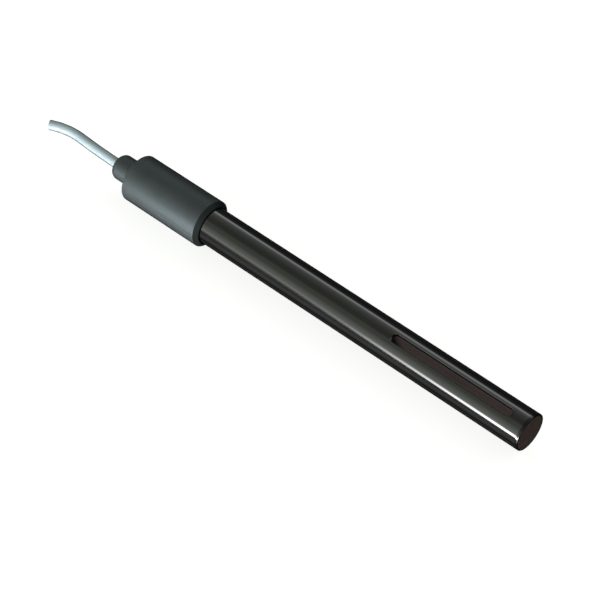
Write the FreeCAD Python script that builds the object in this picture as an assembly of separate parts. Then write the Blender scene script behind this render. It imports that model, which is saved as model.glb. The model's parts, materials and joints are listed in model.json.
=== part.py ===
import FreeCAD, Part
import math
import os

# Dip-type conductivity probe: a slotted plastic shaft with two graphite electrodes, a moulded boot and a
# cable.
#
# Frame: millimetres. The shaft's axis is X, +X points out of the tip and +Z is up. The origin is the centre
# of the flat tip face. Places along the probe are distances back from the tip, so a point at distance d has
# x = -d. Every piece is made with the slot upright along Z, and the finished probe is turned about X by
# SLOT_LEAN.

V = FreeCAD.Vector

# ------------------------------------------------------------ driving dimensions (mm, degrees)
SHAFT_D = 12.0            # outside diameter of the tube, the size that a probe holder grips
SHAFT_SHOWN = 120.0       # from the boot's face to the tip
TUBE_WALL = 1.5
BOOT_D = 15.5
BOOT_LEN = 31.0
NECK_D = 8.3
NECK_LEN = 8.5
CABLE_D = 3.3

# Slot through the shaft: the measuring cell
SLOT_LEAN = 18.5          # the slot leans this far from +Z towards -Y
SLOT_W = 2.8
SLOT_TIP = 5.4            # its end nearest the tip
SLOT_LEN = 43.1
SLOT_RIM = 0.15           # broken edge round each mouth
# Facing electrodes of 7 x 4 mm with a gap of 2.8 mm make a cell constant of 1 per centimetre.
ELECTRODE_LEN = 7.0
ELECTRODE_H = 4.0
ELECTRODE_T = 2.2

# Tube
TUBE_IN_BOOT = 23.0       # how far the tube reaches into the boot
SPIGOT_CUT = 0.3          # the tube is turned down by this much inside the boot
SEAT_WALL = 0.6           # tube wall left round the cell block's head
SEAT_DEPTH = 1.2
TIP_BREAK = 0.25          # broken edge round the tip
GROOVE_BACK = 15.0        # from the boot's face to the groove that holds the boot's rib
GROOVE_W = 2.0
GROOVE_DEPTH = 0.3

# Boot and plug
LIP_GAP = 0.3             # ring gap round the shaft at the boot's face
LIP_DEPTH = 1.0
BOOT_CHAMFER = 1.3        # round the boot's face
CHAMFER_ROUND = 0.15
BOOT_BACK_ROUND = 0.5
NECK_ROOT_ROUND = 0.4
NECK_END_ROUND = 2.0
PLUG_FLANGE = 1.5
PLUG_REACH = 6.0          # how far the plug enters the tube

# Cell block, contact pins and thermistor
BLOCK_LEN = 57.0
PIN_D = 0.7
PIN_REACH = 2.5           # how far a pin enters its electrode
CUP_LEN = 3.0
CUP_D = 1.0
CUP_DEPTH = 2.3
SENSOR_BORE_D = 2.4
SENSOR_BORE_END = 2.0     # block left between the slot and the bore
BEAD_D = 2.0
BEAD_LEN = 3.0
BEAD_FRONT_ROUND = 0.9
BEAD_BACK_ROUND = 0.3
BEAD_SEAT = 0.5           # bedding between the bore's end and the bead
LEG_D = 0.3
LEG_OFFSET = 0.5
LEG_STRAIGHT = 4.0        # straight length of a leg behind the bead
LEG_SPREAD = 6.0          # length over which the legs spread to meet their leads
SENSOR_SPLICE = 66.0      # where the legs meet their leads
SENSOR_SLEEVE_LEN = 8.0
SENSOR_SLEEVE_D = 1.6

# Leads in the shaft, and their splices to the cable
LEAD_D = 1.0
LEAD_CORE_D = 0.5
LEAD_HOLE_D = 1.1
ELECTRODE_LEAD_OFFSET = 2.6
SENSOR_LEAD_OFFSET = 1.3
LEAD_STRIP = 0.5          # bare core between a contact cup and the insulation
SENSOR_LEAD_STRIP = 1.0
SPLICE = 117.0
SPLICE_SLEEVE_LEN = 12.0
SPLICE_SLEEVE_D = 1.8
SPLICE_SLEEVE_WALL = 0.3
SPLICE_STRIP = 3.0        # bare core on each side of a splice
SOLDER_LEN = 3.0
SOLDER_D = 0.9
CORE_GAP = 0.1            # gap between the ends of two cores that meet
EASE = 0.4                # how long an S bend stays level at each end, as a part of its length

# Cable: its layers, its free shape and its two bends
JACKET_ID = 2.3
BRAID_ID = 1.9
CONDUCTOR_D = 0.66
CORE_D = 0.36
CONDUCTOR_OFFSET = 0.5
JACKET_END = 131.0        # where the jacket is stripped
BRAID_BACK = 1.0          # the braid stops this far short of the jacket's end
FAN_BACK = 130.5          # the conductors fan out between these two places
FAN_FRONT = 122.5
FERRULE_D = 4.6
FERRULE_LEN = 5.0
CRIMP_W = 0.8
CRIMP_DEPTH = 0.3
CRIMP_PLACES = (1 / 3, 2 / 3)
# The free cable is level and starts at the boot's mouth: (length, turn towards -Y) of each stretch.
CABLE_RUN = [(12.0, -3.0), (5.5, 0.0), (11.5, 29.0)]
# It flexes at two hinges, placed by their distance along it. At each one, a round nose turns clear of the
# length before it.
BEND_1 = 6.0
BEND_2 = 17.0
BEND_CLEAR = 0.25
NOSE_PLUG = 0.8           # solid length behind a nose's centre

# ------------------------------------------------------------ derived sizes
SHAFT_R = SHAFT_D / 2
BORE_R = SHAFT_R - TUBE_WALL
SEAT_R = SHAFT_R - SEAT_WALL
CABLE_R = CABLE_D / 2
SPIGOT_R = SHAFT_R - SPIGOT_CUT
RIB_R = SPIGOT_R - GROOVE_DEPTH
RIB_FRONT = SHAFT_SHOWN + GROOVE_BACK
RIB_BACK = RIB_FRONT + GROOVE_W
TUBE_LEN = SHAFT_SHOWN + TUBE_IN_BOOT
PLUG_FRONT = TUBE_LEN - PLUG_REACH
PLUG_BACK = TUBE_LEN + PLUG_FLANGE
BOOT_BACK = SHAFT_SHOWN + BOOT_LEN
MOUTH = BOOT_BACK + NECK_LEN
SLOT_BACK = SLOT_TIP + SLOT_LEN
SENSOR_BORE_FRONT = SLOT_BACK + SENSOR_BORE_END
BEAD_FRONT = SENSOR_BORE_FRONT + BEAD_SEAT
BEAD_BACK = BEAD_FRONT + BEAD_LEN
ELECTRODE_BACK = SLOT_TIP + SLOT_LEN / 2 + ELECTRODE_LEN / 2
CUP_BACK = ELECTRODE_BACK + CUP_LEN
SPLICE_SLEEVE = (SPLICE - SPLICE_SLEEVE_LEN / 2, SPLICE + SPLICE_SLEEVE_LEN / 2)
SENSOR_SLEEVE = (SENSOR_SPLICE - SENSOR_SLEEVE_LEN / 2, SENSOR_SPLICE + SENSOR_SLEEVE_LEN / 2)
CABLE_LEN = sum(length for length, turn in CABLE_RUN)
SIDES = (1, -1)

# The four wires, each with its (y, z) place in the shaft and in the cable. Red and black serve the
# electrodes, and white and green serve the thermistor.
LEADS = {
    "red": (ELECTRODE_LEAD_OFFSET, 0.0),
    "white": (0.0, SENSOR_LEAD_OFFSET),
    "black": (-ELECTRODE_LEAD_OFFSET, 0.0),
    "green": (0.0, -SENSOR_LEAD_OFFSET),
}
ELECTRODE_LEADS = ("red", "black")
BUNDLE = {
    "red": (CONDUCTOR_OFFSET, 0.0),
    "white": (0.0, CONDUCTOR_OFFSET),
    "black": (-CONDUCTOR_OFFSET, 0.0),
    "green": (0.0, -CONDUCTOR_OFFSET),
}

# The three lengths of the cable, as (start, end) along it; 0 is the boot's mouth.
CABLE_PARTS = {
    "": (JACKET_END - MOUTH, BEND_1 - CABLE_R - BEND_CLEAR),
    "_mid": (BEND_1, BEND_2 - CABLE_R - BEND_CLEAR),
    "_end": (BEND_2, CABLE_LEN),
}


# ------------------------------------------------------------ helpers
def rounded_wire(corners):
    """A closed wire in the XZ plane through (x, z, radius) corners; a radius of 0 keeps the corner sharp."""
    points = [V(x, 0, z) for x, z, radius in corners]
    count = len(points)
    turns = []
    for i, here in enumerate(points):
        radius = corners[i][2]
        if radius == 0:
            turns.append((here, None, here))
            continue
        back = (points[i - 1] - here).normalize()
        onward = (points[(i + 1) % count] - here).normalize()
        half = back.getAngle(onward) / 2
        reach = radius / math.tan(half)
        bisector = (back + onward).normalize()
        middle = here + bisector * (radius / math.sin(half) - radius)
        turns.append((here + back * reach, middle, here + onward * reach))
    edges = []
    for i, (start, middle, end) in enumerate(turns):
        if middle:
            edges.append(Part.Arc(start, middle, end).toShape())
        edges.append(Part.LineSegment(end, turns[(i + 1) % count][0]).toShape())
    return Part.Wire(edges)


def turned(corners):
    """A solid turned about the X axis from (distance, radius) or (distance, radius, rounding) corners."""
    full = [(-corner[0], corner[1], corner[2] if len(corner) == 3 else 0) for corner in corners]
    return Part.Face(rounded_wire(full)).revolve(V(0, 0, 0), V(1, 0, 0), 360)


def rod(front, back, diameter, y=0.0, z=0.0):
    """A round bar along the probe between two distances from the tip."""
    return Part.makeCylinder(diameter / 2, back - front, V(-back, y, z), V(1, 0, 0))


def pipe(front, back, outer, inner, y=0.0, z=0.0):
    return cut_all(rod(front, back, outer, y, z), [rod(front, back, inner, y, z)])


def slot_cutter():
    """The slot's shape: an upright bar with round ends, longer than the shaft is thick."""
    r = SLOT_W / 2
    height = 2 * SHAFT_D
    bar = Part.makeBox(SLOT_LEN - SLOT_W, SLOT_W, height, V(-SLOT_BACK + r, -r, -height / 2))
    places = (SLOT_TIP + r, SLOT_BACK - r)
    ends = [Part.makeCylinder(r, height, V(-place, 0, -height / 2)) for place in places]
    return bar.multiFuse(ends).removeSplitter()


def as_solids(shape):
    """A boolean's result as one solid, or as a group of solids."""
    solids = shape.Solids
    return solids[0] if len(solids) == 1 else Part.makeCompound(solids)


def cut_all(shape, tools):
    return as_solids(shape.cut(tools))


def sweep(edges, diameter, heading):
    """A round wire along edges that run on from each other; heading is the direction that it starts in."""
    start = edges[0].valueAt(edges[0].FirstParameter)
    profile = Part.Wire(Part.makeCircle(diameter / 2, start, heading))
    return Part.Wire(edges).makePipeShell([profile], True, False)


def straight(front, back, y, z):
    return Part.LineSegment(V(-front, y, z), V(-back, y, z)).toShape()


def s_bend(front, back, start, end):
    """A smooth curve from the (y, z) start at the front to the (y, z) end at the back, level at both ends."""
    reach = (back - front) * EASE
    curve = Part.BezierCurve()
    curve.setPoles([V(-front, *start), V(-front - reach, *start), V(-back + reach, *end), V(-back, *end)])
    return curve.toShape()


# ------------------------------------------------------------ tube and cell block
def body_tube():
    """Shaft tube: a seat for the cell block's head, two slot windows, and a grooved spigot for the boot."""
    tube = turned(
        [
            (0, SEAT_R),
            (0, SHAFT_R - TIP_BREAK),
            (TIP_BREAK, SHAFT_R),
            (SHAFT_SHOWN, SHAFT_R),
            (SHAFT_SHOWN, SPIGOT_R),
            (RIB_FRONT, SPIGOT_R),
            (RIB_FRONT, RIB_R),
            (RIB_BACK, RIB_R),
            (RIB_BACK, SPIGOT_R),
            (TUBE_LEN, SPIGOT_R),
            (TUBE_LEN, BORE_R),
            (SEAT_DEPTH, BORE_R),
            (SEAT_DEPTH, SEAT_R),
        ]
    )
    tube = cut_all(tube, [slot_cutter()])
    return tube.makeFillet(SLOT_RIM, [edge for edge in tube.Edges if is_slot_rim(edge)])


def is_slot_rim(edge):
    """True for the edges where the slot's mouths meet the outside of the tube."""
    tolerance = 0.01
    middle = edge.valueAt((edge.FirstParameter + edge.LastParameter) / 2)
    beside_slot = abs(middle.y) < SLOT_W / 2 + tolerance
    along_slot = SLOT_TIP - tolerance < -middle.x < SLOT_BACK + tolerance
    on_outside = abs(math.hypot(middle.y, middle.z) - SHAFT_R) < tolerance
    return beside_slot and along_slot and on_outside


def cell_block():
    """Moulded core: its head closes the tip, the slot runs through it, and it holds the electrodes."""
    block = turned(
        [
            (0, 0),
            (0, SEAT_R),
            (SEAT_DEPTH, SEAT_R),
            (SEAT_DEPTH, BORE_R),
            (BLOCK_LEN, BORE_R),
            (BLOCK_LEN, 0),
        ]
    )
    holes = [slot_cutter(), rod(SENSOR_BORE_FRONT, BLOCK_LEN, SENSOR_BORE_D)]
    for side in SIDES:
        holes.append(electrode_plate(side))
        holes.append(rod(ELECTRODE_BACK, BLOCK_LEN, LEAD_HOLE_D, side * ELECTRODE_LEAD_OFFSET))
    return cut_all(block, holes)


def electrode_plate(side):
    """The plate that is flush with one wall of the slot. side is +1 or -1."""
    low_y = SLOT_W / 2 if side > 0 else -SLOT_W / 2 - ELECTRODE_T
    corner = V(-ELECTRODE_BACK, low_y, -ELECTRODE_H / 2)
    return Part.makeBox(ELECTRODE_LEN, ELECTRODE_T, ELECTRODE_H, corner)


def electrode(side):
    """An electrode plate with the hole that its contact pin presses into."""
    pin = rod(ELECTRODE_BACK - PIN_REACH, ELECTRODE_BACK, PIN_D, side * ELECTRODE_LEAD_OFFSET)
    return cut_all(electrode_plate(side), [pin])


def contact_pin(side):
    """A pin for the back end of an electrode, with a cup for the lead's core."""
    y = side * ELECTRODE_LEAD_OFFSET
    pin = rod(ELECTRODE_BACK - PIN_REACH, ELECTRODE_BACK, PIN_D, y)
    cup = rod(ELECTRODE_BACK, CUP_BACK, CUP_D, y)
    hollow = rod(CUP_BACK - CUP_DEPTH, CUP_BACK, LEAD_CORE_D, y)
    return cut_all(pin.fuse(cup), [hollow])


# ------------------------------------------------------------ thermistor
def thermistor_bead():
    return turned(
        [
            (BEAD_FRONT, 0),
            (BEAD_FRONT, BEAD_D / 2, BEAD_FRONT_ROUND),
            (BEAD_BACK, BEAD_D / 2, BEAD_BACK_ROUND),
            (BEAD_BACK, 0),
        ]
    )


def thermistor_leg(side):
    """A leg from the bead, spreading to the height of the lead that it meets."""
    spread_front = BEAD_BACK + LEG_STRAIGHT
    spread_back = spread_front + LEG_SPREAD
    near = (0.0, side * LEG_OFFSET)
    far = (0.0, side * SENSOR_LEAD_OFFSET)
    edges = [
        straight(BEAD_BACK, spread_front, *near),
        s_bend(spread_front, spread_back, near, far),
        straight(spread_back, SENSOR_SPLICE - CORE_GAP / 2, *far),
    ]
    return sweep(edges, LEG_D, V(-1, 0, 0))


def thermistor_bedding():
    """Heat-conducting epoxy that fills the bore round the bead and its legs."""
    fill = rod(SENSOR_BORE_FRONT, BLOCK_LEN, SENSOR_BORE_D)
    return cut_all(fill, [thermistor_bead()] + [thermistor_leg(side) for side in SIDES])


def thermistor_sleeve(side):
    return pipe(*SENSOR_SLEEVE, SENSOR_SLEEVE_D, LEAD_D, 0.0, side * SENSOR_LEAD_OFFSET)


# ------------------------------------------------------------ leads and splices
def lead(name):
    """A lead's insulation, from its contact cup or thermistor leg to its splice."""
    front = CUP_BACK + LEAD_STRIP if name in ELECTRODE_LEADS else SENSOR_SPLICE + SENSOR_LEAD_STRIP
    return pipe(front, SPLICE - SPLICE_STRIP, LEAD_D, LEAD_CORE_D, *LEADS[name])


def lead_core(name):
    in_cup = CUP_BACK - CUP_DEPTH + CORE_GAP
    front = in_cup if name in ELECTRODE_LEADS else SENSOR_SPLICE + CORE_GAP / 2
    return rod(front, SPLICE - CORE_GAP / 2, LEAD_CORE_D, *LEADS[name])


def solder_joint(name):
    """A barrel of solder round the ends of a lead's core and a cable core."""
    front = SPLICE - SOLDER_LEN / 2
    back = SPLICE + SOLDER_LEN / 2
    lead_end = rod(front, SPLICE - CORE_GAP / 2, LEAD_CORE_D, *LEADS[name])
    cable_end = rod(SPLICE + CORE_GAP / 2, back, CORE_D, *LEADS[name])
    return cut_all(rod(front, back, SOLDER_D, *LEADS[name]), [lead_end, cable_end])


def splice_sleeve(name):
    inner = SPLICE_SLEEVE_D - 2 * SPLICE_SLEEVE_WALL
    return pipe(*SPLICE_SLEEVE, SPLICE_SLEEVE_D, inner, *LEADS[name])


# ------------------------------------------------------------ cable
BACKWARD = V(-1, 0, 0)
# The cable curves level once the probe has been turned by SLOT_LEAN, so here its plane leans the other way.
SIDEWAYS = V(0, -math.cos(math.radians(SLOT_LEAN)), math.sin(math.radians(SLOT_LEAN)))
ACROSS = SIDEWAYS.cross(BACKWARD)


def station(place):
    """Point and tangent of the cable's centre line, and the normal in its plane, at a place along it."""
    point = V(-MOUTH, 0, 0)
    if place <= 0:
        return point + BACKWARD * place, BACKWARD, SIDEWAYS
    heading = 0.0
    left = place
    for length, turn in CABLE_RUN:
        run = min(left, length)
        half_turn = math.radians(turn) * run / length / 2
        # The chord of an arc points halfway between its end tangents.
        chord = run if half_turn == 0 else run * math.sin(half_turn) / half_turn
        course = heading + half_turn
        point = point + (BACKWARD * math.cos(course) + SIDEWAYS * math.sin(course)) * chord
        heading += 2 * half_turn
        left -= run
    tangent = BACKWARD * math.cos(heading) + SIDEWAYS * math.sin(heading)
    normal = SIDEWAYS * math.cos(heading) - BACKWARD * math.sin(heading)
    return point, tangent, normal


def strand_point(place, y, z):
    """Where a strand that sits at (y, z) in the straight cable lies at a place along it."""
    point, tangent, normal = station(place)
    offset = V(0, y, z)
    return point + normal * offset.dot(SIDEWAYS) + ACROSS * offset.dot(ACROSS)


def strand(start, end, diameter, y=0.0, z=0.0):
    """A round solid along the cable between two places, at (y, z) in its section."""
    breaks = [0.0]
    for length, turn in CABLE_RUN:
        breaks.append(breaks[-1] + length)
    cuts = [start] + [place for place in breaks if start < place < end] + [end]
    edges = []
    for near, far in zip(cuts, cuts[1:]):
        first, middle, last = [strand_point(place, y, z) for place in (near, (near + far) / 2, far)]
        is_straight = (middle - first).cross(last - first).Length < 1e-6
        curve = Part.LineSegment(first, last) if is_straight else Part.Arc(first, middle, last)
        edges.append(curve.toShape())
    return sweep(edges, diameter, station(start)[1])


def layer_span(part):
    """Where the inner layers of a cable length start and end."""
    start, end = CABLE_PARTS[part]
    setback = NOSE_PLUG if part else BRAID_BACK
    return start + setback, end


def jacket(part):
    """The jacket of a cable length. The two lengths that move start with a closed round nose."""
    start, end = CABLE_PARTS[part]
    if not part:
        return cut_all(strand(start, end, CABLE_D), [strand(start, end, JACKET_ID)])
    nose = Part.makeSphere(CABLE_R, station(start)[0])
    hollow = strand(start + NOSE_PLUG, end, JACKET_ID)
    return cut_all(strand(start, end, CABLE_D).fuse(nose), [hollow])


def braid(part):
    span = layer_span(part)
    return cut_all(strand(*span, JACKET_ID), [strand(*span, BRAID_ID)])


def fan(name, splice_end, diameter):
    """A conductor from its splice to the cable, where it closes in on the cable's axis."""
    back = MOUTH + layer_span("")[0]
    edges = [
        straight(splice_end, FAN_FRONT, *LEADS[name]),
        s_bend(FAN_FRONT, FAN_BACK, LEADS[name], BUNDLE[name]),
        straight(FAN_BACK, back, *BUNDLE[name]),
    ]
    return sweep(edges, diameter, BACKWARD)


def conductor_outline(part, name, splice_end, diameter):
    """The round solid of a conductor or its core in a cable length; the first length includes the fan."""
    body = strand(*layer_span(part), diameter, *BUNDLE[name])
    if part:
        return body
    return as_solids(body.fuse(fan(name, splice_end, diameter)).removeSplitter())


def cable_core(part, name):
    return conductor_outline(part, name, SPLICE + CORE_GAP / 2, CORE_D)


def conductor(part, name):
    """A cable conductor's insulation."""
    outline = conductor_outline(part, name, SPLICE + SPLICE_STRIP, CONDUCTOR_D)
    return cut_all(outline, [cable_core(part, name)])


# ------------------------------------------------------------ top of the shaft
def crimp_ferrule():
    """Brass ring crimped on the jacket. It bears on the plug, so that a pull can't reach the splices."""
    front = PLUG_FRONT - FERRULE_LEN
    outer = FERRULE_D / 2
    low = outer - CRIMP_DEPTH
    corners = [(front, CABLE_R), (front, outer)]
    for place in CRIMP_PLACES:
        crimp_front = front + FERRULE_LEN * place - CRIMP_W / 2
        crimp_back = crimp_front + CRIMP_W
        corners += [(crimp_front, outer), (crimp_front, low), (crimp_back, low), (crimp_back, outer)]
    corners += [(PLUG_FRONT, outer), (PLUG_FRONT, CABLE_R)]
    return turned(corners)


def top_plug():
    """Closes the top of the tube round the cable."""
    return turned(
        [
            (PLUG_FRONT, CABLE_R),
            (PLUG_FRONT, BORE_R),
            (TUBE_LEN, BORE_R),
            (TUBE_LEN, SPIGOT_R),
            (PLUG_BACK, SPIGOT_R),
            (PLUG_BACK, CABLE_R),
        ]
    )


def potting():
    """Epoxy that fills the tube from the cell block to the plug, round the wires, sleeves and ferrule."""
    embedded = [
        rod(JACKET_END, PLUG_FRONT, CABLE_D),
        rod(PLUG_FRONT - FERRULE_LEN, PLUG_FRONT, FERRULE_D),
    ]
    for name in LEADS:
        front = BLOCK_LEN if name in ELECTRODE_LEADS else SENSOR_SPLICE
        embedded.append(rod(front, SPLICE, LEAD_D, *LEADS[name]))
        embedded.append(rod(*SPLICE_SLEEVE, SPLICE_SLEEVE_D, *LEADS[name]))
        embedded.append(fan(name, SPLICE + SPLICE_STRIP, CONDUCTOR_D))
    for side in SIDES:
        embedded.append(thermistor_leg(side))
        embedded.append(rod(*SENSOR_SLEEVE, SENSOR_SLEEVE_D, 0.0, side * SENSOR_LEAD_OFFSET))
    return cut_all(rod(BLOCK_LEN, PLUG_FRONT, 2 * BORE_R), embedded)


def boot():
    """Moulded boot: a collar that grips the tube's spigot with a rib, and a neck that holds the cable."""
    collar_r = BOOT_D / 2
    return turned(
        [
            (SHAFT_SHOWN + LIP_DEPTH, SPIGOT_R),
            (SHAFT_SHOWN + LIP_DEPTH, SHAFT_R + LIP_GAP),
            (SHAFT_SHOWN, SHAFT_R + LIP_GAP),
            (SHAFT_SHOWN, collar_r - BOOT_CHAMFER, CHAMFER_ROUND),
            (SHAFT_SHOWN + BOOT_CHAMFER, collar_r, CHAMFER_ROUND),
            (BOOT_BACK, collar_r, BOOT_BACK_ROUND),
            (BOOT_BACK, NECK_D / 2, NECK_ROOT_ROUND),
            (MOUTH, NECK_D / 2, NECK_END_ROUND),
            (MOUTH, CABLE_R),
            (PLUG_BACK, CABLE_R),
            (PLUG_BACK, SPIGOT_R),
            (RIB_BACK, SPIGOT_R),
            (RIB_BACK, RIB_R),
            (RIB_FRONT, RIB_R),
            (RIB_FRONT, SPIGOT_R),
        ]
    )


# ------------------------------------------------------------ the probe
def group(make, items):
    """Identical pieces as one group of solids."""
    return Part.makeCompound([make(item) for item in items])


def shaft_parts():
    parts = {
        "body_tube": body_tube(),
        "cell_block": cell_block(),
        "electrode_left": electrode(1),
        "electrode_right": electrode(-1),
        "contact_pins": group(contact_pin, SIDES),
        "thermistor_bead": thermistor_bead(),
        "thermistor_legs": group(thermistor_leg, SIDES),
        "thermistor_bedding": thermistor_bedding(),
        "thermistor_sleeves": group(thermistor_sleeve, SIDES),
        "lead_cores": group(lead_core, LEADS),
        "solder_joints": group(solder_joint, LEADS),
        "splice_sleeves": group(splice_sleeve, LEADS),
        "crimp_ferrule": crimp_ferrule(),
        "top_plug": top_plug(),
        "potting": potting(),
        "boot": boot(),
    }
    for name in LEADS:
        parts[f"lead_{name}"] = lead(name)
    return parts


def cable_parts():
    parts = {}
    for part in CABLE_PARTS:
        parts[f"cable_jacket{part}"] = jacket(part)
        parts[f"cable_braid{part}"] = braid(part)
        parts[f"cable_cores{part}"] = Part.makeCompound([cable_core(part, name) for name in BUNDLE])
        for name in BUNDLE:
            parts[f"conductor_{name}{part}"] = conductor(part, name)
    return parts


os.makedirs("parts", exist_ok=True)
for node, shape in {**shaft_parts(), **cable_parts()}.items():
    shape.rotate(V(0, 0, 0), V(1, 0, 0), SLOT_LEAN)
    if not shape.isValid() or not shape.Solids:
        raise RuntimeError(f"{node} isn't a valid solid")
    shape.exportStep(f"parts/{node}.step")
    print(f"{node}: {len(shape.Solids)} solid(s), {shape.Volume:.2f} mm3")
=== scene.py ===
import json
import math

import bmesh
import bpy
from mathutils import Matrix, Vector


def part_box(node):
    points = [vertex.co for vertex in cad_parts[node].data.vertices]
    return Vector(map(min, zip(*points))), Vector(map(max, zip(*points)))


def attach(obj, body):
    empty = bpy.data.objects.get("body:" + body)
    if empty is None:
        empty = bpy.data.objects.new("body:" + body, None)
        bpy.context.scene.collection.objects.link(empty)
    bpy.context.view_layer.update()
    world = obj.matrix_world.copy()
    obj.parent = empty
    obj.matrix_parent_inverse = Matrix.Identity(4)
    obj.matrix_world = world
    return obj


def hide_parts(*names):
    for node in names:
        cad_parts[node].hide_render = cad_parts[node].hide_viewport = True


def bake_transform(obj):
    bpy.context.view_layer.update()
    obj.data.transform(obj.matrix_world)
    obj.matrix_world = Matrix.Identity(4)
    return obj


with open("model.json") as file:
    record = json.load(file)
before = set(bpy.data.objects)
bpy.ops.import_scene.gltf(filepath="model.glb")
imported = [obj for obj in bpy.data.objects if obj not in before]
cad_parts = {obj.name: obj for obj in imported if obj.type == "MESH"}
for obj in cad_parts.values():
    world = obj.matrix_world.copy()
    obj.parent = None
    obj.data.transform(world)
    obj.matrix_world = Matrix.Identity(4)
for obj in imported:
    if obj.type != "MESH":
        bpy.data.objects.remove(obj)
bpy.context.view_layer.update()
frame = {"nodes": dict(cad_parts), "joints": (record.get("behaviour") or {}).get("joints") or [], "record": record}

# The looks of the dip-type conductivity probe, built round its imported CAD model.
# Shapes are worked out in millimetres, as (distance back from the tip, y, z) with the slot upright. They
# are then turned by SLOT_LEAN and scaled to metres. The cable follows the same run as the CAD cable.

MM = 0.001


# ------------------------------------------------------------ sizes read from the frame (mm)
def reach(node, axis, side):
    """How far a CAD node reaches along an axis (0 to 2), on its low (0) or high (1) side."""
    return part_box(node)[side][axis] / MM


MOUNTS = {mount["name"]: mount for mount in frame["record"]["mounts"]}
JOINTS = {joint["name"]: joint for joint in frame["joints"]}
SHAFT_R = MOUNTS["shaft"]["dims"]["r_mm"]
BOOT_FRONT = -reach("boot", 0, 1)
MOUTH = -reach("boot", 0, 0)
TUBE_BACK = -reach("body_tube", 0, 0)
CORE_BACK = -reach("cell_block", 0, 0)
ELECTRODE_FRONT = -reach("electrode_left", 0, 1)
ELECTRODE_BACK = -reach("electrode_left", 0, 0)
PLUG_BACK = -reach("top_plug", 0, 0)
FLOOR_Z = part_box("boot")[0].z

# ------------------------------------------------------------ sizes shared with the CAD (mm, degrees)
SLOT_LEAN = 18.5
SLOT_R = 1.4
SLOT_FRONT = 5.4
SLOT_BACK = 48.5
SLOT_RIM = 0.15
BORE_R = 4.5
SEAT_R = 5.4
SEAT_DEPTH = 1.2
TIP_BREAK = 0.25
SPIGOT_R = 5.7
GROOVE_FRONT = 135.0
GROOVE_BACK = 137.0
GROOVE_R = 5.4
ELECTRODE_HALF_H = 2.0
ELECTRODE_T = 2.2
LIP_R = 6.3
LIP_DEPTH = 1.0
BOOT_R = 7.75
BOOT_CHAMFER = 1.3
COLLAR_BACK = 151.0
NECK_R = 4.15
CABLE_R = 1.65
SHEATH_BORE_R = 1.15
JACKET_FRONT = 131.0
CABLE_RUN = [(12.0, -3.0), (5.5, 0.0), (11.5, 29.0)]
CABLE_LEN = sum(length for length, turn in CABLE_RUN)
BENDS = {"cable_swing": 6.0, "cable_lift": 17.0}
BEND_REACH = 5.5          # the reach on each side of a hinge, from which bend_across works out ends that it does not use
NEAR_END = 11.5           # where the two sheath pieces meet, between the bends
BRAID_R = 1.05
CONDUCTOR_R = 0.33
CORE_R = 0.18
CONDUCTOR_OFFSET = 0.5
CONDUCTOR_ANGLES = {"red": 90.0, "white": 0.0, "black": -90.0, "green": 180.0}


# ------------------------------------------------------------ mesh helpers
def lean(point):
    """A point with the slot upright, as the same point of the leaning probe."""
    angle = math.radians(SLOT_LEAN)
    x, y, z = point
    return (x, y * math.cos(angle) - z * math.sin(angle), y * math.sin(angle) + z * math.cos(angle))


JOIN_WITHIN = 0.002       # points closer than this become one
SHORTEST_EDGE = 0.0005


def make_piece(name, points, faces, sharp_degrees=35):
    """A mesh object from points in mm. Points that coincide are joined, and faces point outwards."""
    mesh = bpy.data.meshes.new(name)
    mesh.from_pydata([Vector(point) * MM for point in points], [], faces)
    work = bmesh.new()
    work.from_mesh(mesh)
    bmesh.ops.remove_doubles(work, verts=work.verts, dist=JOIN_WITHIN * MM)
    bmesh.ops.dissolve_degenerate(work, edges=work.edges, dist=SHORTEST_EDGE * MM)
    bmesh.ops.recalc_face_normals(work, faces=work.faces)
    work.to_mesh(mesh)
    work.free()
    mesh.polygons.foreach_set("use_smooth", [True] * len(mesh.polygons))
    mesh.set_sharp_from_angle(angle=math.radians(sharp_degrees))
    piece = bpy.data.objects.new(name, mesh)
    bpy.context.scene.collection.objects.link(piece)
    return piece


def add_grid(points, faces, rows, close_rows=False, close_columns=False):
    """Adds rows of points and the four-sided faces between them."""
    first = len(points)
    width = len(rows[0])
    for row in rows:
        points.extend(row)
    for i in range(len(rows) if close_rows else len(rows) - 1):
        for j in range(width if close_columns else width - 1):
            after = (i + 1) % len(rows)
            beside = (j + 1) % width
            corners = (i * width + j, i * width + beside, after * width + beside, after * width + j)
            faces.append([first + corner for corner in corners])


ROUND_STEPS = 6           # straight steps in an outline's arc


def rounded(corners):
    """The (distance, radius) corners of an outline as points, with arcs where corners state a rounding."""
    points = []
    count = len(corners)
    for i, corner in enumerate(corners):
        here = Vector(corner[:2])
        if len(corner) == 2:
            points.append(tuple(here))
            continue
        back = (Vector(corners[i - 1][:2]) - here).normalized()
        onward = (Vector(corners[(i + 1) % count][:2]) - here).normalized()
        half = back.angle(onward) / 2
        centre = here + (back + onward).normalized() * (corner[2] / math.sin(half))
        start = here + back * (corner[2] / math.tan(half)) - centre
        turn = start.angle_signed(here + onward * (corner[2] / math.tan(half)) - centre)
        for step in range(ROUND_STEPS + 1):
            spoke = start.copy()
            spoke.rotate(Matrix.Rotation(-turn * step / ROUND_STEPS, 2))
            points.append(tuple(centre + spoke))
    return points


def turned(name, outline, angles, swell):
    """A closed solid turned about the probe's axis. swell(distance, radius, angle) changes the radius."""
    rows = []
    for distance, radius in outline:
        row = []
        for angle in angles:
            r = swell(distance, radius, angle)
            row.append((-distance, r * math.sin(math.radians(angle)), r * math.cos(math.radians(angle))))
        rows.append(row)
    points, faces = [], []
    add_grid(points, faces, rows, close_rows=True, close_columns=True)
    return make_piece(name, points, faces)


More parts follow.
